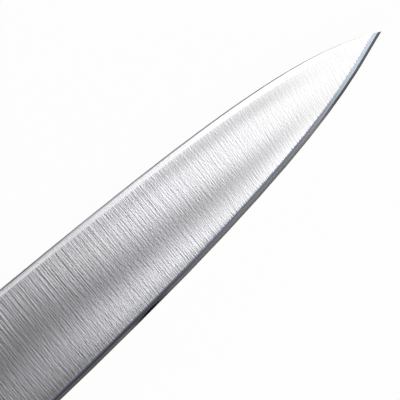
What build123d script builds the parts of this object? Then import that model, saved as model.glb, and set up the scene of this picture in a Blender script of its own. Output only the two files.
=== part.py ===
from build123d import *
import os
from math import cos, radians, sin, tan

# Paring knife with a full tang, lying on its left side.
# +X runs from the butt to the point, +Y towards the back of the blade, +Z up through its thickness.
# The model is drawn with X = 0 at the heel, Y = 0 at the point and Z = 0 in the blade's middle plane.
# It is moved at the end, so that its origin is the middle of the bottom of its bounding box.
# Lengths are in millimetres and angles in degrees.

# Blade outline, seen from the side
blade_length = 88.9
heel_height = 19.5
point_drop = 7.0
back_point_angle = 30.6
edge_heel_angle = 3.0
edge_point_angle = 14.3
back_heel_arm_share = 0.678
back_point_arm_share = 0.150
edge_heel_arm_share = 0.860
edge_point_arm_share = 0.094
point_overrun = 1.5

# Blade section, across the edge
fine_bevel_width = 0.40
fine_bevel_thickness = 0.24
bevel_width = 0.50
bevel_thickness = 0.42
back_thickness = 1.95
grind_crown = 0.08
back_round_half_width = 1.06
back_round_depth = 0.60

# Bolster
bolster_length = 9.0
bolster_thickness = 12.2
bolster_back_step = 0.6
bolster_front_reach = 4.0
bolster_front_lean = 11.0
scallop_radius = 8.0
scallop_sink = 0.08
scallop_edge_chamfer = 0.28
ramp_sink = 0.25
heel_notch_inset = 1.1

# Handle
handle_length = 110.0
handle_height = 18.0
handle_thickness = 14.0
handle_edge_radius = 3.2
waist_length = 11.0
butt_back_radius = 6.0
butt_beak_radius = 5.0

# Handle outline as shares of the handle's length and height, from the handle's axis
back_front_shares = (-0.023, 0.455)
back_middle_shares = (-0.450, 0.500)
back_rear_shares = (-0.975, 0.310)
butt_middle_shares = (-1.000, -0.240)
belly_shares = ((0.040, -0.445), (-0.255, -0.483), (-0.727, -0.483), (-0.945, -0.795))
finger_rise_share = 0.1

# Tang and scales
tang_thickness = 2.0
seat_gap = 0.02

# Two-part cutler's rivets
rivet_names = ("front", "middle", "rear")
rivet_first_distance = 17.0
rivet_pitch = 31.0
rivet_line_drop = 0.2
head_diameter = 6.4
head_thickness = 2.4
sleeve_diameter = 4.2
sleeve_end_gap = 0.8
shank_diameter = 3.0
shank_end_gap = 1.2
shank_tip_chamfer = 0.4
rivet_hole_clearance = 0.10
tang_hole_clearance = 0.25
press_gap = 0.01
head_recess = 0.02

# Two places nearer than this count as one
touch_tolerance = 0.001

# Worked-out places
back_y = point_drop
heel_y = point_drop - heel_height
handle_axis_y = back_y + bolster_back_step - back_front_shares[1] * handle_height
bolster_bottom_y = handle_axis_y + belly_shares[0][1] * handle_height
tang_half = tang_thickness / 2
scale_inner_z = tang_half + seat_gap
scale_outer_z = handle_thickness / 2
cut_reach = 2 * (blade_length + handle_length)
cut_height = 2 * (heel_height + handle_height)


def step_from(point, distance, angle):
    """The point that lies at a distance and an angle from another."""
    return (point[0] + distance * cos(radians(angle)), point[1] + distance * sin(radians(angle)))


def blade_line(heel_point, heel_angle, heel_arm, point_angle, point_arm):
    """A curve from the heel to just past the point, led in by a straight run inside the bolster."""
    end = step_from((blade_length, 0), point_overrun, point_angle)
    start = step_from(heel_point, -bolster_length, heel_angle)
    lead_in = Line(start, heel_point)
    curve = Bezier(
        heel_point,
        step_from(heel_point, heel_arm, heel_angle),
        step_from(end, -point_arm, point_angle),
        end,
    )
    return Wire([lead_in, curve])


def back_line():
    """The middle of the blade's back."""
    return blade_line(
        (0, back_y), 0, back_heel_arm_share * blade_length,
        -back_point_angle, back_point_arm_share * blade_length,
    )


def edge_line():
    """The cutting edge."""
    return blade_line(
        (0, heel_y), edge_heel_angle, edge_heel_arm_share * blade_length,
        edge_point_angle, edge_point_arm_share * blade_length,
    )


def section_plane(path):
    """The plane across a path's start, with its x axis towards the blade's back."""
    along = path % 0
    return Plane(origin=path @ 0, x_dir=(-along.Y, along.X, 0), z_dir=along)


def grind_wedge():
    """The ground wedge: two facets at the edge and a slightly crowned face up to the back."""
    shoulder = fine_bevel_width + bevel_width
    taper = (back_thickness - bevel_thickness) / 2 / (heel_height - shoulder)
    depth = heel_height + point_drop
    half_at_depth = bevel_thickness / 2 + taper * (depth - shoulder)
    middle = ((shoulder + depth) / 2, (bevel_thickness / 2 + half_at_depth) / 2 + grind_crown)
    facets = Polyline(
        (0, 0),
        (fine_bevel_width, fine_bevel_thickness / 2),
        (shoulder, bevel_thickness / 2),
    )
    face_arc = ThreePointArc(facets @ 1, middle, (depth, half_at_depth))
    closing = Polyline(face_arc @ 1, (depth, 0), (0, 0))
    upper = make_face([facets, face_arc, closing])
    path = edge_line()
    section = section_plane(path) * (upper + mirror(upper, Plane.XZ))
    return sweep(section, path)


def back_tongue():
    """Everything under the blade's rounded back."""
    depth = heel_height + point_drop
    crown = EllipticalCenterArc(
        (-back_round_depth, 0), back_round_depth, back_round_half_width,
        start_angle=-90, arc_size=180,
    )
    sides = Polyline(
        crown @ 1,
        (-depth, back_round_half_width),
        (-depth, -back_round_half_width),
        crown @ 0,
    )
    path = back_line()
    return sweep(section_plane(path) * make_face([crown, sides]), path)


def heel_outline():
    """The blade's end in the bolster, with the round notch behind the heel."""
    radius = bolster_bottom_y - heel_y + heel_notch_inset
    rear_x = -bolster_length / 2 - heel_notch_inset
    notch = CenterArc((-radius, heel_y), radius, 0, 90)
    rest = Polyline(
        notch @ 0,
        (0, -cut_height),
        (cut_reach, -cut_height),
        (cut_reach, cut_height),
        (-cut_reach, cut_height),
        (-cut_reach, heel_y + radius),
        notch @ 1,
    )
    keep = make_face([notch, rest])
    return keep & Pos(rear_x + cut_reach / 2, 0) * Rectangle(cut_reach, 2 * cut_height)


def ground_blade():
    """The blade from its stub inside the bolster to the point."""
    body = grind_wedge() & back_tongue()
    return body & extrude(heel_outline(), cut_height, both=True)


def on_handle(shares):
    """A point of the handle's side view, from its shares of the length and the height."""
    return (shares[0] * handle_length, handle_axis_y + shares[1] * handle_height)


def handle_outline():
    """The handle and bolster from the side, in arcs, with a ramp down to the blade's back."""
    back_corner = on_handle(back_rear_shares)
    beak_corner = on_handle(belly_shares[-1])
    back_arc = ThreePointArc(on_handle(back_front_shares), on_handle(back_middle_shares), back_corner)
    ramp_foot = (on_handle(belly_shares[0])[0], back_y - ramp_sink)
    ramp_middle = (back_arc @ 0 + Vector(*ramp_foot)) / 2
    ramp_top = TangentArc(back_arc @ 0, ramp_middle, tangent=back_arc % 0 * -1)
    lines = [
        back_arc,
        ramp_top,
        TangentArc(ramp_middle, ramp_foot, tangent=ramp_top % 1),
        ThreePointArc(back_corner, on_handle(butt_middle_shares), beak_corner),
        Line(on_handle(belly_shares[0]), ramp_foot),
    ]
    heading = (-handle_length, finger_rise_share * handle_height)
    for start, end in zip(belly_shares, belly_shares[1:]):
        arc = TangentArc(on_handle(start), on_handle(end), tangent=heading)
        lines.append(arc)
        heading = arc % 1
    face = make_face(lines)
    for corner, radius in ((back_corner, butt_back_radius), (beak_corner, butt_beak_radius)):
        face = fillet(face.vertices().sort_by_distance(corner)[0], radius)
    return face


def handle_plan():
    """The handle from above, narrower at the bolster, drawn on the XZ plane."""
    front_x = on_handle(belly_shares[0])[0]
    waist_x = -bolster_length
    full_x = waist_x - waist_length
    rear_x = -handle_length - handle_thickness
    narrow = bolster_thickness / 2
    full = handle_thickness / 2
    land = Line((front_x, narrow), (waist_x, narrow))
    middle = ((waist_x + full_x) / 2, (narrow + full) / 2)
    flare_in = TangentArc((waist_x, narrow), middle, tangent=(-1, 0))
    flare_out = TangentArc(middle, (full_x, full), tangent=flare_in % 1)
    side = Polyline((full_x, full), (rear_x, full), (rear_x, 0), (front_x, 0), (front_x, narrow))
    half = make_face([land, flare_in, flare_out, side])
    return Plane.XZ * (half + mirror(half, Plane.XZ))


def is_rim(edge):
    """Whether an edge runs along the handle's outline at a side face, where the handle is rounded."""
    on_side = min(abs((edge @ share).Z) for share in (0, 0.5, 1)) > bolster_thickness / 2 - touch_tolerance
    crosses_side = abs((edge @ 0).X - (edge @ 1).X) < touch_tolerance
    return on_side and not crosses_side


def handle_envelope():
    """The outside of the handle and bolster together, with rounded edges."""
    block = extrude(handle_outline(), handle_thickness, both=True)
    block = block & extrude(handle_plan(), cut_height, both=True)
    return fillet([edge for edge in block.edges() if is_rim(edge)], handle_edge_radius)


def front_line_x(y):
    """Where the bolster's leaning front line lies at a height."""
    return bolster_front_reach - (back_y - y) * tan(radians(bolster_front_lean))


def scallop_axis(side):
    """The middle line of one scallop, as a point and a direction."""
    rise = (back_thickness - bevel_thickness) / 2 / heel_height
    lean = tan(radians(bolster_front_lean))
    face_half = back_thickness / 2 - scallop_sink
    centre = Vector(front_line_x(back_y), back_y, side * (face_half + scallop_radius))
    return centre, Vector(lean, 1, side * rise).normalized()


def scallop(side):
    """The hollow between the bolster's land and one face of the blade, from its back to its belly."""
    centre, axis = scallop_axis(side)
    across = axis.cross(Vector(0, 0, side))
    plane = Plane(origin=centre, x_dir=across, z_dir=axis)
    out = plane.y_dir.Z * side
    opening = Pos(0, out * scallop_radius / 2) * Rectangle(2 * scallop_radius, scallop_radius)
    profile = Circle(scallop_radius) + opening
    return extrude(plane * profile, cut_height, both=True)


def is_scallop_border(edge, side):
    """Whether an edge lies on a scallop's surface, apart from the one inside the blade."""
    centre, axis = scallop_axis(side)
    offsets = [edge @ share - centre for share in (0, 0.5, 1)]
    distances = [(offset - axis * offset.dot(axis)).length for offset in offsets]
    on_surface = all(abs(distance - scallop_radius) < touch_tolerance for distance in distances)
    middle = edge @ 0.5
    at_front = abs(middle.X - front_line_x(middle.Y)) < touch_tolerance
    return on_surface and not at_front


def bolster(envelope):
    """The thick collar in front of the handle, scalloped down to the blade on both sides."""
    front = Polyline(
        (-bolster_length, -cut_height),
        (front_line_x(-cut_height), -cut_height),
        (front_line_x(cut_height), cut_height),
        (-bolster_length, cut_height),
        close=True,
    )
    block = envelope & extrude(make_face(front), handle_thickness, both=True)
    for side in (1, -1):
        block -= scallop(side)
        border = [edge for edge in block.edges() if is_scallop_border(edge, side)]
        block = chamfer(border, scallop_edge_chamfer)
    return block


def rivet_places():
    """Each rivet's place on the handle's side."""
    first_x = -bolster_length - rivet_first_distance
    y = handle_axis_y - rivet_line_drop
    return [(first_x - n * rivet_pitch, y) for n in range(len(rivet_names))]


def behind_bolster(gap):
    """A block that holds everything behind the bolster's rear face."""
    size = cut_reach
    return Pos(-bolster_length - gap - size / 2, 0, 0) * Box(size, cut_height, cut_height)


def tang(envelope):
    """The full tang, which shows all round the handle's edge, with its three rivet holes."""
    lap = bolster_length / 2
    plate = envelope & behind_bolster(-lap)
    plate = plate & Box(cut_reach, cut_height, tang_thickness)
    hole = Cylinder(sleeve_diameter / 2 + tang_hole_clearance, handle_thickness)
    for x, y in rivet_places():
        plate -= Pos(x, y, 0) * hole
    return plate


def forging(envelope):
    """Blade, bolster and tang in one piece, as they are forged."""
    return bolster(envelope) + tang(envelope) + ground_blade()


def scale(envelope, side):
    """One handle scale, with a stepped hole for each rivet."""
    slab = Pos(0, 0, side * (scale_inner_z + cut_height / 2)) * Box(cut_reach, cut_height, cut_height)
    body = envelope & behind_bolster(seat_gap) & slab
    passage = Cylinder(sleeve_diameter / 2 + rivet_hole_clearance, handle_thickness * 2)
    seat_depth = head_thickness + head_recess
    seat = Cylinder(head_diameter / 2 + press_gap, 2 * seat_depth)
    for x, y in rivet_places():
        body -= Pos(x, y, 0) * passage
        body -= Pos(x, y, side * scale_outer_z) * seat
    return body


def rivet_head():
    """A rivet's head, with its flat top at Z = 0."""
    return Pos(0, 0, -head_thickness / 2) * Cylinder(head_diameter / 2, head_thickness)


def rivet_shank():
    """The male half: a head on a solid shank with a chamfered tip."""
    length = handle_thickness - 2 * head_recess - 2 * head_thickness - shank_end_gap
    shank = Pos(0, 0, -head_thickness - length / 2) * Cylinder(shank_diameter / 2, length)
    shank = chamfer(shank.edges().sort_by(Axis.Z)[0], shank_tip_chamfer)
    return rivet_head() + shank


def rivet_sleeve():
    """The female half: a head on a tube that takes the shank."""
    length = handle_thickness - 2 * head_recess - 2 * head_thickness - sleeve_end_gap
    tube = Pos(0, 0, -head_thickness - length / 2) * Cylinder(sleeve_diameter / 2, length)
    bore = Pos(0, 0, -head_thickness - length / 2) * Cylinder(shank_diameter / 2 + press_gap, length)
    return rivet_head() + (tube - bore)


def make_parts():
    """Every piece by name, in its place."""
    envelope = handle_envelope()
    parts = {
        "blade": forging(envelope),
        "scale_right": scale(envelope, 1),
        "scale_left": scale(envelope, -1),
    }
    top_z = scale_outer_z - head_recess
    for name, (x, y) in zip(rivet_names, rivet_places()):
        parts[f"{name}_rivet_shank"] = Pos(x, y, top_z) * rivet_shank()
        parts[f"{name}_rivet_sleeve"] = Pos(x, y, -top_z) * Rot(180, 0, 0) * rivet_sleeve()
    return parts


def write_parts(parts):
    """Move the pieces so that the origin is at the middle of the bottom, and write them."""
    os.makedirs("parts", exist_ok=True)
    box = Compound(list(parts.values())).bounding_box()
    lowest = -max(handle_thickness, bolster_thickness) / 2
    shift = Pos(-(box.min.X + box.max.X) / 2, -(box.min.Y + box.max.Y) / 2, -lowest)
    for name, part in parts.items():
        export_step(shift * part, os.path.join("parts", name + ".step"))
    print("overall size", box.size)
    print("moved by", shift.position)


if __name__ == "__main__":
    write_parts(make_parts())
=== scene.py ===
import logging
import math
from bisect import bisect_right
from collections.abc import Callable
from dataclasses import dataclass
from enum import Enum

import bmesh
import bpy
from mathutils import Matrix, Vector


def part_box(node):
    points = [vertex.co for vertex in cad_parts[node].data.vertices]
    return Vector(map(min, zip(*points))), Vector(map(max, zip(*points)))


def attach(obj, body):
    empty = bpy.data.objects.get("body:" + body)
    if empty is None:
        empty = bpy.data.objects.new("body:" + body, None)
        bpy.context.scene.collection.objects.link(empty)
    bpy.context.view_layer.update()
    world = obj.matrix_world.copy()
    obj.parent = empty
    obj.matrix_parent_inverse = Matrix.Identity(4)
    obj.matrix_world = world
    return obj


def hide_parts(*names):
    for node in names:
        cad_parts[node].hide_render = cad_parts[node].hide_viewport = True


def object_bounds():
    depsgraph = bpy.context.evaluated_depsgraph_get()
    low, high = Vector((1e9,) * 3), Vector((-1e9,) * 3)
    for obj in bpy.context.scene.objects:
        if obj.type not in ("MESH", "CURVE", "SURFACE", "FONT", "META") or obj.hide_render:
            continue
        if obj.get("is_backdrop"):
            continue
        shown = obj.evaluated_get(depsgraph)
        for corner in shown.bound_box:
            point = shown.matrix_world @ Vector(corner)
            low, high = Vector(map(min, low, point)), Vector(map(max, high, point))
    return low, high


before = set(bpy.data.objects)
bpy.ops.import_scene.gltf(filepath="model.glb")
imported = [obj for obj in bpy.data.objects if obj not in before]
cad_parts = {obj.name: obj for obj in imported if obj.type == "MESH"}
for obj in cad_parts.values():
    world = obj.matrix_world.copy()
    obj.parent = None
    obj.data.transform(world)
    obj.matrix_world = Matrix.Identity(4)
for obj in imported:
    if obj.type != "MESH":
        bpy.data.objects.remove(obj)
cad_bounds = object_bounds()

log = logging.getLogger("paring_knife")

Colour = tuple[float, float, float]
Place = tuple[float, float, float]
MM = 0.001
NOISE_MEAN = 0.5
NOISE_GAIN = 4.0
QUARTER_TURN = 0.25


class Value:
    """A number that flows through a node tree, so that shader maths reads as plain expressions."""

    def __init__(self, shader: "Shader", socket: bpy.types.NodeSocket) -> None:
        """Keeps the tree and the output socket that carries the number."""
        self.shader = shader
        self.socket = socket

    def _math(self, operation: str, *values: "Value | float") -> "Value":
        """Adds a Math node of an operation and returns its result."""
        return self.shader.value("ShaderNodeMath", {"operation": operation}, dict(enumerate(values)))

    def __add__(self, other: "Value | float") -> "Value":
        """The sum."""
        return self._math("ADD", self, other)

    def __radd__(self, other: float) -> "Value":
        """The sum, with a plain number first."""
        return self._math("ADD", other, self)

    def __sub__(self, other: "Value | float") -> "Value":
        """The difference."""
        return self._math("SUBTRACT", self, other)

    def __rsub__(self, other: float) -> "Value":
        """The difference from a plain number."""
        return self._math("SUBTRACT", other, self)

    def __mul__(self, other: "Value | float") -> "Value":
        """The product."""
        return self._math("MULTIPLY", self, other)

    def __rmul__(self, other: float) -> "Value":
        """The product, with a plain number first."""
        return self._math("MULTIPLY", other, self)

    def __truediv__(self, other: "Value | float") -> "Value":
        """The quotient."""
        return self._math("DIVIDE", self, other)

    def __neg__(self) -> "Value":
        """The same number with the other sign."""
        return self * -1.0

    def __abs__(self) -> "Value":
        """The size of the number."""
        return self._math("ABSOLUTE", self)

    def least(self, other: "Value | float") -> "Value":
        """The smaller of this and another."""
        return self._math("MINIMUM", self, other)

    def most(self, other: "Value | float") -> "Value":
        """The larger of this and another."""
        return self._math("MAXIMUM", self, other)

    def clamped_to(self, low: float, high: float) -> "Value":
        """The number kept between two limits."""
        return self.most(low).least(high)

    def step(self, low: "Value | float", high: "Value | float") -> "Value":
        """A smooth step, 0 at the low place and 1 at the high one, which may lie under it."""
        settings = {"interpolation_type": "SMOOTHSTEP"}
        return self.shader.value("ShaderNodeMapRange", settings, {0: self, 1: low, 2: high})

    def hump(self, middle: "Value | float", half_width: float) -> "Value":
        """A smooth hump, 1 at its middle and 0 past its half width."""
        return abs(self - middle).step(half_width, 0.0)


class Shader:
    """A node tree under construction, for a material or the world."""

    def __init__(self, tree: bpy.types.NodeTree) -> None:
        """Takes over a tree and empties it."""
        self.tree = tree
        self.tree.nodes.clear()

    def node(self, kind: str, settings: dict | None = None, sockets: dict | None = None) -> bpy.types.Node:
        """Adds a node.

        Args:
            kind: The node's type name.
            settings: The node's own settings by name.
            sockets: What goes into its input sockets, by name or number.

        Returns:
            The new node.
        """
        node = self.tree.nodes.new(kind)
        for name, setting in (settings or {}).items():
            setattr(node, name, setting)
        for name, value in (sockets or {}).items():
            if isinstance(value, Value):
                value = value.socket
            if isinstance(value, bpy.types.NodeSocket):
                self.tree.links.new(value, node.inputs[name])
            else:
                node.inputs[name].default_value = value
        return node

    def value(
        self, kind: str, settings: dict | None = None, sockets: dict | None = None, out: int | str = 0
    ) -> Value:
        """Adds a node and takes one of its outputs as a number."""
        return Value(self, self.node(kind, settings, sockets).outputs[out])

    def vector(self, x: Value | float, y: Value | float, z: Value | float) -> bpy.types.NodeSocket:
        """Joins three numbers into a vector."""
        return self.node("ShaderNodeCombineXYZ", None, {0: x, 1: y, 2: z}).outputs[0]

    def place(self) -> tuple[Value, Value, Value]:
        """Reads where the shaded point is on the object.

        Returns:
            Its three coordinates in millimetres.
        """
        coordinates = self.node("ShaderNodeTexCoord").outputs["Object"]
        parts = self.node("ShaderNodeSeparateXYZ", None, {0: coordinates})
        x, y, z = (Value(self, output) / MM for output in parts.outputs)
        return x, y, z

    def stored(self, measure: "Measure") -> Value:
        """A distance that is stored on the mesh."""
        return self.value("ShaderNodeAttribute", {"attribute_name": measure.value}, None, "Fac")

    def noise(self, x: Value, y: Value, z: Value | float, detail: float, rough: float = 0.5) -> Value:
        """Smooth noise, mostly from -1 to 1, at a place in units of its grain, with some finer layers."""
        sockets = {"Vector": self.vector(x, y, z), "Scale": 1.0, "Detail": detail, "Roughness": rough}
        return (self.value("ShaderNodeTexNoise", None, sockets) - NOISE_MEAN) * NOISE_GAIN

    def shade(self, colour: Colour, factor: Value) -> bpy.types.NodeSocket:
        """A colour made lighter or darker by a factor."""
        sockets = {0: (*colour,), "Scale": factor}
        return self.node("ShaderNodeVectorMath", {"operation": "SCALE"}, sockets).outputs[0]

    def blend(
        self, share: Value, first: bpy.types.NodeSocket, second: bpy.types.NodeSocket
    ) -> bpy.types.NodeSocket:
        """A mix of two colours, by the second one's share."""
        sockets = {0: share, 4: first, 5: second}
        return self.node("ShaderNodeMix", {"data_type": "VECTOR"}, sockets).outputs[1]

    def bump(self, height: Value, depth: float) -> bpy.types.NodeSocket:
        """A bumped normal, from a height between 0 and 1 and what 1 stands for in millimetres."""
        sockets = {"Height": height, "Distance": depth * MM, "Strength": 1.0}
        return self.node("ShaderNodeBump", None, sockets).outputs[0]


def new_material(name: str) -> tuple[bpy.types.Material, Shader]:
    """Makes an empty node material.

    Args:
        name: The material's name.

    Returns:
        The material, and the shader that fills it.
    """
    material = bpy.data.materials.new(name)
    material.use_nodes = True
    return material, Shader(material.node_tree)


class Brushing(Enum):
    """The direction in which a steel surface was ground or brushed, in the frame."""

    ACROSS = (0.0, 1.0, 0.0)
    ALONG = (1.0, 0.0, 0.0)


class Measure(Enum):
    """A distance in millimetres that is stored on the forging's vertices."""

    FROM_BACK = "from_back"
    FROM_EDGE = "from_edge"
    FROM_POINT = "from_point"
    ABOVE_POINT = "above_point"


@dataclass(frozen=True)
class Rise:
    """An amount that rises smoothly between two places of a measure, in millimetres."""

    measure: Measure
    start: float
    end: float
    amount: float = 1.0

    def on(self, sh: Shader) -> Value:
        """The amount at the shaded point."""
        return sh.stored(self.measure).step(self.start, self.end) * self.amount


@dataclass(frozen=True)
class Swell:
    """An amount that swells smoothly about one place of a measure, in millimetres."""

    measure: Measure
    middle: float
    half_width: float
    amount: float = 1.0

    def on(self, sh: Shader) -> Value:
        """The amount at the shaded point."""
        return sh.stored(self.measure).hump(self.middle, self.half_width) * self.amount


@dataclass(frozen=True)
class Slope:
    """An amount that grows evenly along the blade from one place on, up to a limit."""

    start: float
    per_mm: float
    limit: float

    def on(self, sh: Shader) -> Value:
        """The amount at the shaded point."""
        return ((sh.stored(Measure.FROM_POINT) - self.start) * self.per_mm).clamped_to(0.0, self.limit)


@dataclass(frozen=True)
class Shade:
    """A painted stretch of light or shade on a surface, lighter or darker than the rest, where all its
    profiles meet.
    """

    amount: float
    profiles: tuple[Rise | Swell, ...]

    def on(self, sh: Shader) -> Value:
        """Works out the stretch's factor on the tint.

        Args:
            sh: The shader to add to.

        Returns:
            The factor at the shaded point.
        """
        strength = self.profiles[0].on(sh)
        for profile in self.profiles[1:]:
            strength = strength * profile.on(sh)
        return 1.0 + strength * self.amount


@dataclass(frozen=True)
class Steel:
    """A steel finish with fine marks in one direction."""

    name: str
    tint: Colour
    roughness: float
    anisotropy: float
    brushing: Brushing = Brushing.ALONG
    contrast: float = 0.12
    pitch: float = 0.16
    mark_length: float = 9.0
    mark_depth: float = 0.0005
    mark_gloss: float = 0.02
    # shades: painted light and shade, as factors on the tint
    shades: tuple[Shade, ...] = ()

    def marks(self, sh: Shader) -> Value:
        """How raised the metal is by fine marks in the brushing's direction, about from -1 to 1."""
        x, y, z = sh.place()
        return sh.noise(x / self.mark_length, y / self.pitch, z / self.pitch, detail=3.0, rough=0.6)

    def tone(self, sh: Shader, marks: Value) -> Value:
        """Works out how much lighter or darker the tint is at each point, from the marks and the painted
        shades.

        Args:
            sh: The shader to add to.
            marks: The brushing marks.

        Returns:
            The factor on the tint.
        """
        factor = 1.0 + marks * self.contrast
        for shade in self.shades:
            factor = factor * shade.on(sh)
        return factor

    def colour(self, sh: Shader, marks: Value) -> bpy.types.NodeSocket:
        """The tint with the marks on it."""
        return sh.shade(self.tint, self.tone(sh, marks))

    def material(self) -> bpy.types.Material:
        """Builds the finish's material.

        The highlights are drawn out square to the brushing: the tangent runs along it, turned by a quarter.

        Returns:
            The material.
        """
        material, sh = new_material(self.name)
        marks = self.marks(sh)
        sockets = {
            "Base Color": self.colour(sh, marks),
            "Metallic": 1.0,
            "Roughness": self.roughness - marks * self.mark_gloss,
            "Anisotropic": self.anisotropy,
            "Anisotropic Rotation": QUARTER_TURN,
            "Normal": sh.bump(marks * 0.5 + 0.5, self.mark_depth),
            "Tangent": sh.vector(*self.brushing.value),
        }
        shader = sh.node("ShaderNodeBsdfPrincipled", None, sockets)
        sh.node("ShaderNodeOutputMaterial", None, {"Surface": shader.outputs[0]})
        return material


@dataclass(frozen=True)
class BladeSteel(Steel):
    """A steel finish whose tint turns to another one towards the blade's point, which paints how the
    reflection's colour and brightness change there.
    """

    # the point's tint is a painted reflection
    point_reflection_tint: Colour = (0.60, 0.597, 0.606)
    point_share: Rise = Rise(Measure.FROM_POINT, 52.0, 16.0)

    def colour(self, sh: Shader, marks: Value) -> bpy.types.NodeSocket:
        """Blends the two tints, with the marks on both.

        Args:
            sh: The shader to add to.
            marks: The marks on the surface.

        Returns:
            The colour's socket.
        """
        tone = self.tone(sh, marks)
        rear, front = sh.shade(self.tint, tone), sh.shade(self.point_reflection_tint, tone)
        return sh.blend(self.point_share.on(sh), rear, front)


@dataclass(frozen=True)
class Grooves:
    """A layer of grinding marks of one length, and how its weight changes under the back and to the heel."""

    length: float
    seed: float
    weight: float
    upper_gain: float = 0.0
    heel_gain: float = 0.0
    grain: float = 0.105
    half_groove: float = 0.165
    strength: float = 0.7

    def on(self, sh: Shader, across: Value, down: Value) -> Value:
        """Draws the layer as the difference between two noises half a groove apart, without broad streaks.

        Args:
            sh: The shader to add to.
            across: The place across the grooves, in millimetres.
            down: The place along them, in millimetres.

        Returns:
            The lines, about from -1 to 1.
        """
        shifted = ((across + shift) / self.grain for shift in (0.0, self.half_groove))
        first, second = (sh.noise(place, down / self.length, self.seed, detail=0.0) for place in shifted)
        return (first - second) * self.strength

    def weight_at(self, upper: Value, heel: Value) -> Value:
        """The layer's weight, from how far the point is under the back and towards the heel."""
        return upper * (heel * self.heel_gain + self.upper_gain) + self.weight


@dataclass(frozen=True)
class PaintedDarkBand:
    """The painted dark band of reflection along a flank's middle, by its height over the point in
    millimetres.
    """

    height: float = -2.4
    heel_lift: Slope = Slope(54.0, 0.13, 2.0)
    point_drop: Rise = Rise(Measure.FROM_POINT, 44.0, 30.0, 0.35)
    raggedness: float = 0.4
    reach_up: float = 2.9
    reach_up_growth: Slope = Slope(28.0, 0.11, 3.2)
    reach_down: float = 2.6
    reach_down_growth: Rise = Rise(Measure.FROM_POINT, 22.0, 40.0, 1.5)
    heel_growth: Rise = Rise(Measure.FROM_POINT, 54.0, 66.0, 1.2)
    depth: Slope = Slope(0.0, 0.0115, 0.44)
    heel_fading: Rise = Rise(Measure.FROM_POINT, 56.0, 66.0, 0.06)

    def on(self, sh: Shader, marks: Value) -> Value:
        """Works out the painted band's factor on the tint.

        Args:
            sh: The shader to add to.
            marks: The grinding marks, which break up the band's borders.

        Returns:
            The factor at the shaded point.
        """
        centre = self.heel_lift.on(sh) + self.height - self.point_drop.on(sh)
        height = sh.stored(Measure.ABOVE_POINT) - centre + marks * self.raggedness
        up = self.reach_up_growth.on(sh) + self.reach_up
        down = self.reach_down_growth.on(sh) + self.heel_growth.on(sh) + self.reach_down
        nearness = (height / up).most(-height / down).step(1.0, 0.0)
        return 1.0 - nearness * (self.depth.on(sh) - self.heel_fading.on(sh))


@dataclass(frozen=True)
class PaintedHighlightRim:
    """A painted highlight along the flank under the back, with its marks smoothed, and a thin greyer line in
    it.
    """

    start: Rise = Rise(Measure.FROM_POINT, 6.0, 14.0)
    border: tuple[float, float] = (1.10, 0.80)
    raggedness: float = 0.05
    heel_narrowing: Rise = Rise(Measure.FROM_POINT, 50.0, 66.0, 0.12)
    gain: float = 0.26
    heel_gain: Rise = Rise(Measure.FROM_POINT, 54.0, 66.0, 0.42)
    line: Swell = Swell(Measure.FROM_BACK, 0.45, 0.14, 0.14)
    smoothness: float = 0.85

    def presence(self, sh: Shader, marks: Value) -> Value:
        """How much the shaded point belongs to the rim, from 0 to 1."""
        height = sh.stored(Measure.FROM_BACK) + marks * self.raggedness + self.heel_narrowing.on(sh)
        return self.start.on(sh) * height.step(*self.border)

    def light(self, sh: Shader, presence: Value) -> Value:
        """The painted highlight's factor on the tint."""
        return 1.0 + presence * (self.heel_gain.on(sh) + self.gain - self.line.on(sh))


@dataclass(frozen=True)
class EdgeFall:
    """The fall of light towards the bevel, which widens to the heel."""

    width: float = 1.5
    widening: Rise = Rise(Measure.FROM_POINT, 30.0, 50.0, 1.2)
    full_share: float = 0.5
    depth: Rise = Rise(Measure.FROM_POINT, 24.0, 40.0, 0.30)

    def on(self, sh: Shader) -> Value:
        """The fall's factor on the tint."""
        share = sh.stored(Measure.FROM_EDGE) / (self.widening.on(sh) + self.width)
        return 1.0 - share.step(1.0, self.full_share) * self.depth.on(sh)


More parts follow.
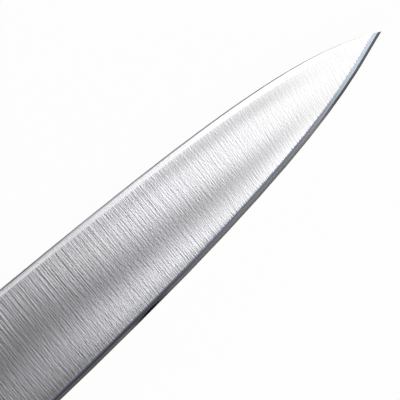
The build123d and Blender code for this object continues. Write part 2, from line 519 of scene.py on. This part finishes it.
@dataclass(frozen=True)
class GroundSteel(BladeSteel):
    """The blade's flanks, ground across from back to edge, with soft bands of painted reflection and shade.
    """

    groove_lean: float = 0.5
    point_lean: float = 10.5
    leaning: Rise = Rise(Measure.FROM_POINT, 38.0, 14.0)
    grooves: tuple[Grooves, ...] = (
        Grooves(length=12.0, seed=3.7, weight=0.22, heel_gain=0.70),
        Grooves(length=2.8, seed=11.3, weight=0.65, upper_gain=-0.20),
        Grooves(length=0.6, seed=23.9, weight=0.42),
        Grooves(length=0.2, seed=31.1, weight=0.32),
    )
    upper: Rise = Rise(Measure.ABOVE_POINT, -4.0, 3.0)
    heel: Rise = Rise(Measure.FROM_POINT, 26.0, 54.0)
    point_contrast: float = 0.18
    contrast_growth: Rise = Rise(Measure.FROM_POINT, 8.0, 62.0, 0.82)
    contrast_limits: tuple[float, float] = (0.25, 1.7)
    painted_dark_band: PaintedDarkBand = PaintedDarkBand()
    rim: PaintedHighlightRim = PaintedHighlightRim()
    edge_fall: EdgeFall = EdgeFall()
    # a painted dark reflection on the shoulder above the bevel
    shoulder_reflection_tint: Colour = (0.20, 0.22, 0.27)
    shoulder_border: tuple[float, float] = (1.17, 0.93)
    shoulder_raggedness: float = 0.11
    shoulder_contrast: float = 0.20
    shoulder_drop: Rise = Rise(Measure.FROM_POINT, 34.0, 12.0, 0.10)
    shoulder_start: Rise = Rise(Measure.FROM_POINT, 0.5, 3.0)

    def marks(self, sh: Shader) -> Value:
        """Lays grinding marks of several lengths over each other, leaning towards the point in front.

        Args:
            sh: The shader to add to.

        Returns:
            How raised the metal is, about from -1 to 1.
        """
        x, y, _ = sh.place()
        rear, front = (math.tan(math.radians(lean)) for lean in (self.groove_lean, self.point_lean))
        across = x - y * (self.leaning.on(sh) * (front - rear) + rear)
        upper, heel = self.upper.on(sh), self.heel.on(sh)
        first, *others = (layer.on(sh, across, y) * layer.weight_at(upper, heel) for layer in self.grooves)
        return sum(others, first)

    def tone(self, sh: Shader, marks: Value) -> Value:
        """Works out the marks' light and dark, weaker towards the point, over the flank's painted bands of
        reflection and shade.

        Args:
            sh: The shader to add to.
            marks: The grinding marks.

        Returns:
            The factor on the tint.
        """
        # the rim is a painted highlight
        rim = self.rim.presence(sh, marks)
        contrast = (self.contrast_growth.on(sh) + self.point_contrast) * self.contrast
        lines = 1.0 + marks * contrast * (1.0 - rim * self.rim.smoothness)
        factor = lines.clamped_to(*self.contrast_limits) * self.rim.light(sh, rim)
        # painted dark band, and the painted fall of light towards the bevel
        factor = factor * self.painted_dark_band.on(sh, marks) * self.edge_fall.on(sh)
        for shade in self.shades:
            factor = factor * shade.on(sh)
        return factor

    def colour(self, sh: Shader, marks: Value) -> bpy.types.NodeSocket:
        """Colours the flank, with a ragged painted dark reflection on the shoulder above the bevel.

        Args:
            sh: The shader to add to.
            marks: The grinding marks.

        Returns:
            The colour's socket.
        """
        border = sh.stored(Measure.FROM_EDGE) + marks * self.shoulder_raggedness + self.shoulder_drop.on(sh)
        shoulder = border.step(*self.shoulder_border) * self.shoulder_start.on(sh)
        dark = sh.shade(self.shoulder_reflection_tint, 1.0 + marks * self.shoulder_contrast)
        return sh.blend(shoulder, super().colour(sh, marks), dark)


@dataclass(frozen=True)
class BevelSteel(BladeSteel):
    """The bevel along the blade's edge, with a painted dark reflection line along it."""

    line_height: float = 0.60
    line_lift: Rise = Rise(Measure.FROM_POINT, 44.0, 34.0, 0.15)
    line_half_width: float = 0.13
    line_depth: float = 0.35
    line_deepening: Rise = Rise(Measure.FROM_POINT, 42.0, 58.0, 0.35)
    line_start: Rise = Rise(Measure.FROM_POINT, 4.0, 16.0)

    def tone(self, sh: Shader, marks: Value) -> Value:
        """Works out the marks' light and dark, the painted shades and the painted reflection line.

        Args:
            sh: The shader to add to.
            marks: The brushing marks.

        Returns:
            The factor on the tint.
        """
        height = self.line_lift.on(sh) + self.line_height
        # a painted dark reflection line
        line = sh.stored(Measure.FROM_EDGE).hump(height, self.line_half_width)
        depth = (self.line_deepening.on(sh) + self.line_depth) * self.line_start.on(sh)
        return super().tone(sh, marks) * (1.0 - line * depth)


@dataclass(frozen=True)
class BackSteel(Steel):
    """The blade's rounded back, with a painted dark reflection in a fine line along its top."""

    line_width: float = 0.14
    line_widening: Rise = Rise(Measure.FROM_POINT, 50.0, 66.0, 0.07)
    full_share: float = 0.6
    line_depth: Rise = Rise(Measure.FROM_POINT, 4.0, 18.0, 0.75)
    line_deepening: Rise = Rise(Measure.FROM_POINT, 50.0, 66.0, 0.15)

    def tone(self, sh: Shader, marks: Value) -> Value:
        """Works out the marks' light and dark, and the painted reflection line, which is wider and darker
        towards the heel.

        Args:
            sh: The shader to add to.
            marks: The brushing marks.

        Returns:
            The factor on the tint.
        """
        share = sh.stored(Measure.FROM_BACK) / (self.line_widening.on(sh) + self.line_width)
        depth = self.line_depth.on(sh) + self.line_deepening.on(sh)
        return super().tone(sh, marks) * (1.0 - share.step(1.0, self.full_share) * depth)


@dataclass(frozen=True)
class BuffedPlastic:
    """Black handle plastic, moulded, ground to shape and buffed. Sizes are in millimetres."""

    name: str = "buffed_black"
    tint: Colour = (0.020, 0.020, 0.022)
    roughness: float = 0.34
    refraction: float = 1.48
    grain_size: float = 0.35
    grain_tone: float = 0.10
    grain_relief: float = 0.4
    buffing_length: float = 9.0
    buffing_pitch: float = 0.30
    buffing_gloss: float = 0.03
    buffing_relief: float = 0.6
    cloud_length: float = 14.0
    cloud_width: float = 9.0
    cloud_tone: float = 0.12
    cloud_gloss: float = 0.04
    relief: float = 0.0012

    def material(self) -> bpy.types.Material:
        """Builds the finish's material.

        Returns:
            The material.
        """
        material, sh = new_material(self.name)
        x, y, z = sh.place()
        size = self.grain_size
        grain = sh.noise(x / size, y / size, z / size, detail=2.0, rough=0.6)
        length, pitch = self.buffing_length, self.buffing_pitch
        buffing = sh.noise(x / length, y / pitch, z / pitch, detail=3.0, rough=0.6)
        clouds = sh.noise(x / self.cloud_length, y / self.cloud_width, z / self.cloud_width, detail=2.0)
        sockets = {
            "Base Color": sh.shade(self.tint, 1.0 + clouds * self.cloud_tone + grain * self.grain_tone),
            "Roughness": self.roughness + clouds * self.cloud_gloss + buffing * self.buffing_gloss,
            "IOR": self.refraction,
            "Normal": sh.bump(grain * self.grain_relief + buffing * self.buffing_relief, self.relief),
        }
        shader = sh.node("ShaderNodeBsdfPrincipled", None, sockets)
        sh.node("ShaderNodeOutputMaterial", None, {"Surface": shader.outputs[0]})
        return material


class Outline:
    """The blade's back or edge from the side, as heights along its length."""

    def __init__(self, points: list[Vector]) -> None:
        """Keeps the outline's points in order along the blade."""
        self.points = sorted((point.x, point.y) for point in points)
        self.xs = [x for x, _ in self.points]

    def distance(self, point: Vector) -> float:
        """Measures how far a point lies from the outline, square to it.

        Args:
            point: A point on the forging.

        Returns:
            The distance in millimetres.
        """
        i = min(max(bisect_right(self.xs, point.x), 1), len(self.xs) - 1)
        (x0, y0), (x1, y1) = self.points[i - 1], self.points[i]
        slope = (y1 - y0) / (x1 - x0)
        height = y0 + (point.x - x0) * slope
        return abs(point.y - height) / math.hypot(1.0, slope) / MM


@dataclass
class Forging:
    """Blade, bolster and tang, forged in one piece, with a finish for each of its surfaces.

    Lengths are in metres, the facets' height from the edge in millimetres and tilts in degrees.
    """

    node: bpy.types.Object
    scale_front: float
    finishes: dict[str, Steel]
    scale_gap: float = 0.00002
    bolster_length: float = 0.0130
    heel_overlap: float = 0.0045
    cut_spacing: float = 0.0015
    merge_distance: float = 0.000002
    cut_tolerance: float = 0.000001
    row_tolerance: float = 0.01
    crease_angle: float = 3.0
    side_share: float = 0.9
    flank_tilt: float = 4.2
    flank_turn: float = 2.0
    bevel_tilt: float = 13.0
    honed_tilt: float = 22.0
    facet_height: float = 1.2

    @property
    def bolster_rear(self) -> float:
        """Where the tang ends and the bolster begins."""
        return self.scale_front + self.scale_gap

    @property
    def bolster_front(self) -> float:
        """Where the bolster ends and the blade begins."""
        return self.bolster_rear + self.bolster_length

    def build(self) -> bpy.types.Object:
        """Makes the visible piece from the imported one, cut finely and with its places stored.

        Returns:
            The piece.
        """
        mesh = self.node.data.copy()
        mesh.name = "forged_steel"
        mesh.materials.clear()
        for finish in self.finishes.values():
            mesh.materials.append(finish.material())
        bm = bmesh.new()
        bm.from_mesh(mesh)
        self.merge_facets(bm, mesh)
        self.cut_rows(bm)
        point, back, edge = self.outlines(bm)
        self.store_places(bm, point, back, edge)
        self.assign_finishes(bm, edge)
        bm.to_mesh(mesh)
        bm.free()
        piece = bpy.data.objects.new("forged_steel", mesh)
        bpy.context.collection.objects.link(piece)
        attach(piece, "root")
        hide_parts(self.node.name)
        log.info("%s: %d faces in %d finishes", piece.name, len(mesh.polygons), len(self.finishes))
        return piece

    def merge_facets(self, bm: bmesh.types.BMesh, mesh: bpy.types.Mesh) -> None:
        """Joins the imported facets, and marks an edge sharp where their normals on its two sides differ.

        Args:
            bm: The mesh, as it is packed.
            mesh: The mesh data that it came from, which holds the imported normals.
        """
        seen = bm.loops.layers.float_vector.new("packed_normal")
        for face in bm.faces:
            face.smooth = True
            for loop in face.loops:
                loop[seen] = mesh.corner_normals[loop.index].vector
        bmesh.ops.remove_doubles(bm, verts=bm.verts, dist=self.merge_distance)
        limit = math.cos(math.radians(self.crease_angle))
        for edge in bm.edges:
            if len(edge.link_loops) != 2:
                edge.smooth = False
                continue
            one, two = edge.link_loops
            pairs = ((one, two.link_loop_next), (one.link_loop_next, two))
            edge.smooth = all(a[seen].dot(b[seen]) > limit for a, b in pairs)
        bm.loops.layers.float_vector.remove(seen)

    def cut_rows(self, bm: bmesh.types.BMesh) -> None:
        """Cuts the blade into narrow rows, so that what is stored on its vertices follows its curves.

        Args:
            bm: The mesh, merged.
        """
        end = max(vert.co.x for vert in bm.verts)
        x = self.bolster_front
        while x < end:
            parts = bm.verts[:] + bm.edges[:] + bm.faces[:]
            plane = {"plane_co": (x, 0.0, 0.0), "plane_no": (1.0, 0.0, 0.0)}
            bmesh.ops.bisect_plane(bm, geom=parts, dist=self.cut_tolerance, **plane)
            x += self.cut_spacing

    def outlines(self, bm: bmesh.types.BMesh) -> tuple[Vector, Outline, Outline]:
        """Reads the blade's shape from the side.

        Args:
            bm: The mesh, cut into rows.

        Returns:
            The blade's point, the line of its back and the line of its edge.
        """
        point = max((vert.co for vert in bm.verts), key=lambda co: co.x).copy()
        rows: dict[int, list[Vector]] = {}
        for vert in bm.verts:
            step = (vert.co.x - self.bolster_front) / self.cut_spacing
            if step > -self.row_tolerance and abs(step - round(step)) < self.row_tolerance:
                rows.setdefault(round(step), []).append(vert.co)
        tops = [max(row, key=lambda co: co.y) for row in rows.values()]
        bottoms = [min(row, key=lambda co: co.y) for row in rows.values()]
        return point, Outline([*tops, point]), Outline([*bottoms, point])

    def store_places(self, bm: bmesh.types.BMesh, point: Vector, back: Outline, edge: Outline) -> None:
        """Stores each vertex's distance from the blade's back, edge and point, and its height over the point.

        Args:
            bm: The mesh, cut into rows.
            point: The blade's point.
            back: The line of its back.
            edge: The line of its edge.
        """
        measures: dict[Measure, Callable[[Vector], float]] = {
            Measure.FROM_BACK: back.distance,
            Measure.FROM_EDGE: edge.distance,
            Measure.FROM_POINT: lambda co: (point.x - co.x) / MM,
            Measure.ABOVE_POINT: lambda co: (co.y - point.y) / MM,
        }
        for measure, distance in measures.items():
            layer = bm.verts.layers.float.new(measure.value)
            for vert in bm.verts:
                vert[layer] = distance(vert.co)

    def assign_finishes(self, bm: bmesh.types.BMesh, edge: Outline) -> None:
        """Gives each face the number of its finish.

        Args:
            bm: The mesh, cut into rows.
            edge: The line of the blade's edge.
        """
        order = list(self.finishes)
        for face in bm.faces:
            face.material_index = order.index(self.finish_of(face, edge))

    def finish_of(self, face: bmesh.types.BMFace, edge: Outline) -> str:
        """Tells which surface of the forging a face belongs to, from its place and tilt.

        Args:
            face: A face of the merged mesh.
            edge: The line of the blade's edge.

        Returns:
            The name of its finish.
        """
        middle = face.calc_center_median()
        if middle.x < self.bolster_rear:
            return "tang"
        across = math.degrees(math.asin(max(-1.0, min(1.0, face.normal.y))))
        along = math.degrees(math.asin(max(-1.0, min(1.0, face.normal.x))))
        tilt = math.hypot(across, along)
        on_blade = middle.x > self.bolster_front - self.heel_overlap
        if on_blade and abs(face.normal.z) > self.side_share and across < 0.0:
            if tilt < self.flank_tilt and abs(along) < self.flank_turn:
                return "flank"
            if tilt < self.honed_tilt and edge.distance(middle) < self.facet_height:
                return "bevel" if tilt < self.bevel_tilt else "honed"
        return "back" if middle.x > self.bolster_front else "bolster"


def dress_piece(name: str, node: bpy.types.Object, material: bpy.types.Material) -> None:
    """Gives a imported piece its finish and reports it.

    Args:
        name: The piece's name.
        node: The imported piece.
        material: Its finish.
    """
    for slot in node.material_slots:
        slot.material = material
    log.info("%s: %d faces in %s", name, len(node.data.polygons), material.name)


@dataclass
class Handle:
    """The two plastic scales on either side of the tang."""

    scales: dict[str, bpy.types.Object]
    finish: BuffedPlastic = BuffedPlastic()

    def dress(self) -> None:
        """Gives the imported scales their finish."""
        material = self.finish.material()
        for name, scale in self.scales.items():
            dress_piece(name, scale, material)


@dataclass
class Rivets:
    """The rivets through the handle, each a shank in a sleeve, ground flush with the scales."""

    parts: dict[str, bpy.types.Object]
    shank: Steel = Steel("ground_shank", (0.64, 0.64, 0.645), 0.28, 0.6, pitch=0.12, mark_length=8.0)
    sleeve: Steel = Steel("ground_sleeve", (0.62, 0.62, 0.63), 0.30, 0.6, pitch=0.13, mark_length=6.0)

    def dress(self) -> None:
        """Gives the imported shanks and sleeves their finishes."""
        finishes = {"shank": self.shank.material(), "sleeve": self.sleeve.material()}
        for name, part in self.parts.items():
            dress_piece(name, part, finishes[name.rsplit("_", 1)[1]])


@dataclass(frozen=True)
class Softbox:
    """A rectangular lamp that the camera doesn't see."""

    name: str
    place: Place
    aim: Place
    size: tuple[float, float]
    radiance: float
    colour: Colour = (1.0, 1.0, 1.0)

    def build(self) -> None:
        """Places the lamp."""
        light = bpy.data.lights.new(self.name, "AREA")
        light.shape = "RECTANGLE"
        light.size, light.size_y = self.size
        light.energy = self.radiance * math.pi * self.size[0] * self.size[1]
        light.color = self.colour
        lamp = bpy.data.objects.new(self.name, light)
        bpy.context.collection.objects.link(lamp)
        back = (Vector(self.place) - Vector(self.aim)).normalized()
        right = Vector((0.0, 1.0, 0.0)).cross(back).normalized()
        turned = Matrix((right, back.cross(right), back)).transposed().to_4x4()
        lamp.matrix_world = Matrix.Translation(self.place) @ turned
        lamp.visible_camera = False


POINT_LAMP = Softbox("point_softbox", (0.180, -0.030, 0.20), (0.180, -0.030, 0.0), (0.240, 0.10), 1.55)
BEVEL_LAMP = Softbox(
    "bevel_softbox", (0.180, -0.115, 0.20), (0.180, -0.115, 0.0), (0.12, 0.05), 1.0, (0.82, 0.92, 1.0)
)
HANDLE_LAMP = Softbox("handle_softbox", (-0.32, -0.10, 0.65), (0.0, 0.0, 0.0), (0.45, 0.45), 2.2)


@dataclass(frozen=True)
class Studio:
    """A pale floor and a room with light walls and a darker ceiling, lit by softboxes."""

    wall: float = 0.85
    ceiling: float = 0.22
    wall_top: float = 0.30
    ceiling_start: float = 0.80
    floor_size: float = 8.0
    floor_colour: Colour = (0.9, 0.9, 0.9)
    floor_white: float = 0.96
    lamps: tuple[Softbox, ...] = (POINT_LAMP, BEVEL_LAMP, HANDLE_LAMP)

    def build(self) -> None:
        """Makes the world, the floor and the lamps."""
        self.build_world()
        self.build_floor()
        for lamp in self.lamps:
            lamp.build()

    def build_world(self) -> None:
        """Makes the room around the object."""
        world = bpy.data.worlds.new("studio_room")
        bpy.context.scene.world = world
        world.use_nodes = True
        sh = Shader(world.node_tree)
        direction = sh.node("ShaderNodeTexCoord").outputs["Generated"]
        up = sh.value("ShaderNodeSeparateXYZ", None, {0: direction}, 2)
        overhead = up.step(self.wall_top, self.ceiling_start)
        strength = self.wall + overhead * (self.ceiling - self.wall)
        sockets = {"Color": (1.0, 1.0, 1.0, 1.0), "Strength": strength}
        background = sh.node("ShaderNodeBackground", None, sockets)
        sh.node("ShaderNodeOutputWorld", None, {"Surface": background.outputs[0]})

    def build_floor(self) -> None:
        """Makes the floor, which shows white but for the object's shadow."""
        mesh = bpy.data.meshes.new("floor")
        bm = bmesh.new()
        bmesh.ops.create_grid(bm, x_segments=1, y_segments=1, size=self.floor_size / 2)
        bm.to_mesh(mesh)
        bm.free()
        floor = bpy.data.objects.new("floor", mesh)
        bpy.context.collection.objects.link(floor)
        material, sh = new_material("pale_floor")
        path = sh.node("ShaderNodeLightPath")
        camera, glossy, through = (
            Value(sh, path.outputs[f"Is {kind} Ray"]) for kind in ("Camera", "Glossy", "Transmission")
        )
        seen = (camera + glossy + through).least(1.0)
        diffuse = sh.node("ShaderNodeBsdfDiffuse", None, {"Color": (*self.floor_colour, 1.0)})
        white = sh.node("ShaderNodeEmission", None, {"Color": (1.0, 1.0, 1.0, 1.0), "Strength": 1.0})
        sockets = {0: seen * self.floor_white, 1: diffuse.outputs[0], 2: white.outputs[0]}
        mixed = sh.node("ShaderNodeMixShader", None, sockets)
        sh.node("ShaderNodeOutputMaterial", None, {"Surface": mixed.outputs[0]})
        mesh.materials.append(material)
        floor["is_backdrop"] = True


@dataclass(frozen=True)
class PhotoCamera:
    """The photograph's camera, nearly square above the blade's right face."""

    point_pixel: tuple[float, float] = (381.4, 31.4)
    picture_pixels: float = 400.0
    metres_per_pixel: float = 0.0001488
    blade_angle: float = 40.0
    lean: float = 4.0
    distance: float = 0.5
    sensor: float = 36.0
    nearest: float = 0.01

    def build(self, point: Vector) -> None:
        """Places the camera so that the blade's point falls on its pixel.

        Args:
            point: The blade's point in the frame.
        """
        turn = math.radians(self.blade_angle)
        lean = math.radians(self.lean)
        back = Vector((0.0, math.sin(lean), math.cos(lean)))
        right = Vector((math.cos(turn), -math.sin(turn), 0.0))
        right = (right - right.dot(back) * back).normalized()
        up = back.cross(right)
        middle = self.picture_pixels / 2
        shift_right = (self.point_pixel[0] - middle) * self.metres_per_pixel
        shift_up = (middle - self.point_pixel[1]) * self.metres_per_pixel
        aim = point - right * shift_right - up * shift_up
        data = bpy.data.cameras.new("photo_camera")
        data.sensor_width = self.sensor
        data.lens = self.sensor * self.distance / (self.picture_pixels * self.metres_per_pixel)
        data.clip_start = self.nearest
        camera = bpy.data.objects.new("photo_camera", data)
        bpy.context.collection.objects.link(camera)
        turned = Matrix((right, up, back)).transposed().to_4x4()
        camera.matrix_world = Matrix.Translation(aim + back * self.distance) @ turned
        bpy.context.scene.camera = camera


# Painted light and shade on the ground flank, standing in for reflections: darker under the back, above the
# bevel near the heel and at the heel, lighter in the middle of the blade and above the bevel near the point,
# and a dark patch low at the heel.
PAINTED_SHADE_UNDER_BACK = Shade(
    -0.25,
    (
        Swell(Measure.FROM_BACK, 2.0, 1.9),
        Rise(Measure.FROM_POINT, 8.0, 22.0),
        Rise(Measure.FROM_POINT, 66.0, 36.0),
    ),
)
PAINTED_SHADE_OVER_BEVEL = Shade(-0.15, (Swell(Measure.FROM_EDGE, 2.5, 2.4), Rise(Measure.FROM_POINT, 57.0, 67.0)))
PAINTED_LIGHT_MIDDLE = Shade(0.20, (Swell(Measure.FROM_POINT, 49.0, 20.0),))
PAINTED_SHADE_HEEL = Shade(-0.15, (Rise(Measure.FROM_POINT, 57.0, 70.0),))
PAINTED_LIGHT_OVER_BEVEL = Shade(0.12, (Rise(Measure.FROM_EDGE, 4.0, 1.5), Swell(Measure.FROM_POINT, 18.0, 12.0)))
PAINTED_DARK_PATCH_HEEL = Shade(-0.38, (Rise(Measure.ABOVE_POINT, 1.0, -3.0), Swell(Measure.FROM_POINT, 80.0, 18.0)))

GROUND_FLANK = GroundSteel(
    "ground_flank", (0.60, 0.594, 0.626), 0.19, 0.9, Brushing.ACROSS, contrast=0.82, mark_depth=0.0010,
    shades=(PAINTED_SHADE_UNDER_BACK, PAINTED_SHADE_OVER_BEVEL, PAINTED_LIGHT_MIDDLE, PAINTED_SHADE_HEEL, PAINTED_LIGHT_OVER_BEVEL, PAINTED_DARK_PATCH_HEEL),
)
# The bevel's blue-grey tint, its lighter tint near the point and its darker stretch near the edge close to
# the point are painted reflection and shade.
EDGE_BEVEL = BevelSteel(
    "edge_bevel", (0.30, 0.335, 0.40), 0.20, 0.6, pitch=0.10, mark_length=6.0,
    shades=(Shade(-0.45, (Rise(Measure.FROM_EDGE, 0.50, 0.36), Rise(Measure.FROM_POINT, 16.0, 10.0))),),
    point_reflection_tint=(0.51, 0.56, 0.645), point_share=Rise(Measure.FROM_POINT, 24.0, 4.0),
)
# The honed facet's brown-grey tint, its dark tint near the point and its shades, a dark patch in the middle,
# a darker heel and a darker edge, are painted reflection and shade.
HONED_BEVEL = BladeSteel(
    "honed_bevel", (0.54, 0.49, 0.455), 0.22, 0.6, pitch=0.08, mark_length=4.0,
    shades=(
        Shade(-0.97, (Swell(Measure.FROM_POINT, 53.0, 5.5),)),
        Shade(-0.29, (Rise(Measure.FROM_POINT, 56.0, 66.0),)),
        Shade(-0.35, (Rise(Measure.FROM_EDGE, 0.28, 0.04),)),
    ),
    point_reflection_tint=(0.17, 0.166, 0.164), point_share=Rise(Measure.FROM_POINT, 18.0, 11.0),
)
FORGING_FINISHES: dict[str, Steel] = {
    "flank": GROUND_FLANK,
    "bevel": EDGE_BEVEL,
    "honed": HONED_BEVEL,
    "back": BackSteel("satin_back", (0.56, 0.56, 0.57), 0.30, 0.7, contrast=0.10),
    "bolster": Steel("satin_bolster", (0.60, 0.605, 0.62), 0.26, 0.8, pitch=0.14, mark_length=7.0),
    "tang": Steel("satin_tang", (0.58, 0.585, 0.60), 0.30, 0.8, contrast=0.14),
}


def main() -> None:
    """Builds the studio and the knife, and reports each piece."""
    logging.basicConfig(level=logging.INFO, format="%(message)s")
    bpy.context.scene.view_settings.view_transform = "Standard"
    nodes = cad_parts
    point = max((vert.co for vert in nodes["blade"].data.vertices), key=lambda co: co.x)
    PhotoCamera().build(point.copy())
    Studio().build()
    Forging(nodes["blade"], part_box("scale_right")[1].x, FORGING_FINISHES).build()
    Handle({name: node for name, node in nodes.items() if name.startswith("scale")}).dress()
    Rivets({name: node for name, node in nodes.items() if "_rivet_" in name}).dress()
    bounds = {"cad": cad_bounds, "visual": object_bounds()}
    sizes = {name: [list(corner) for corner in corners] for name, corners in bounds.items()}


if __name__ == "__main__":
    main()
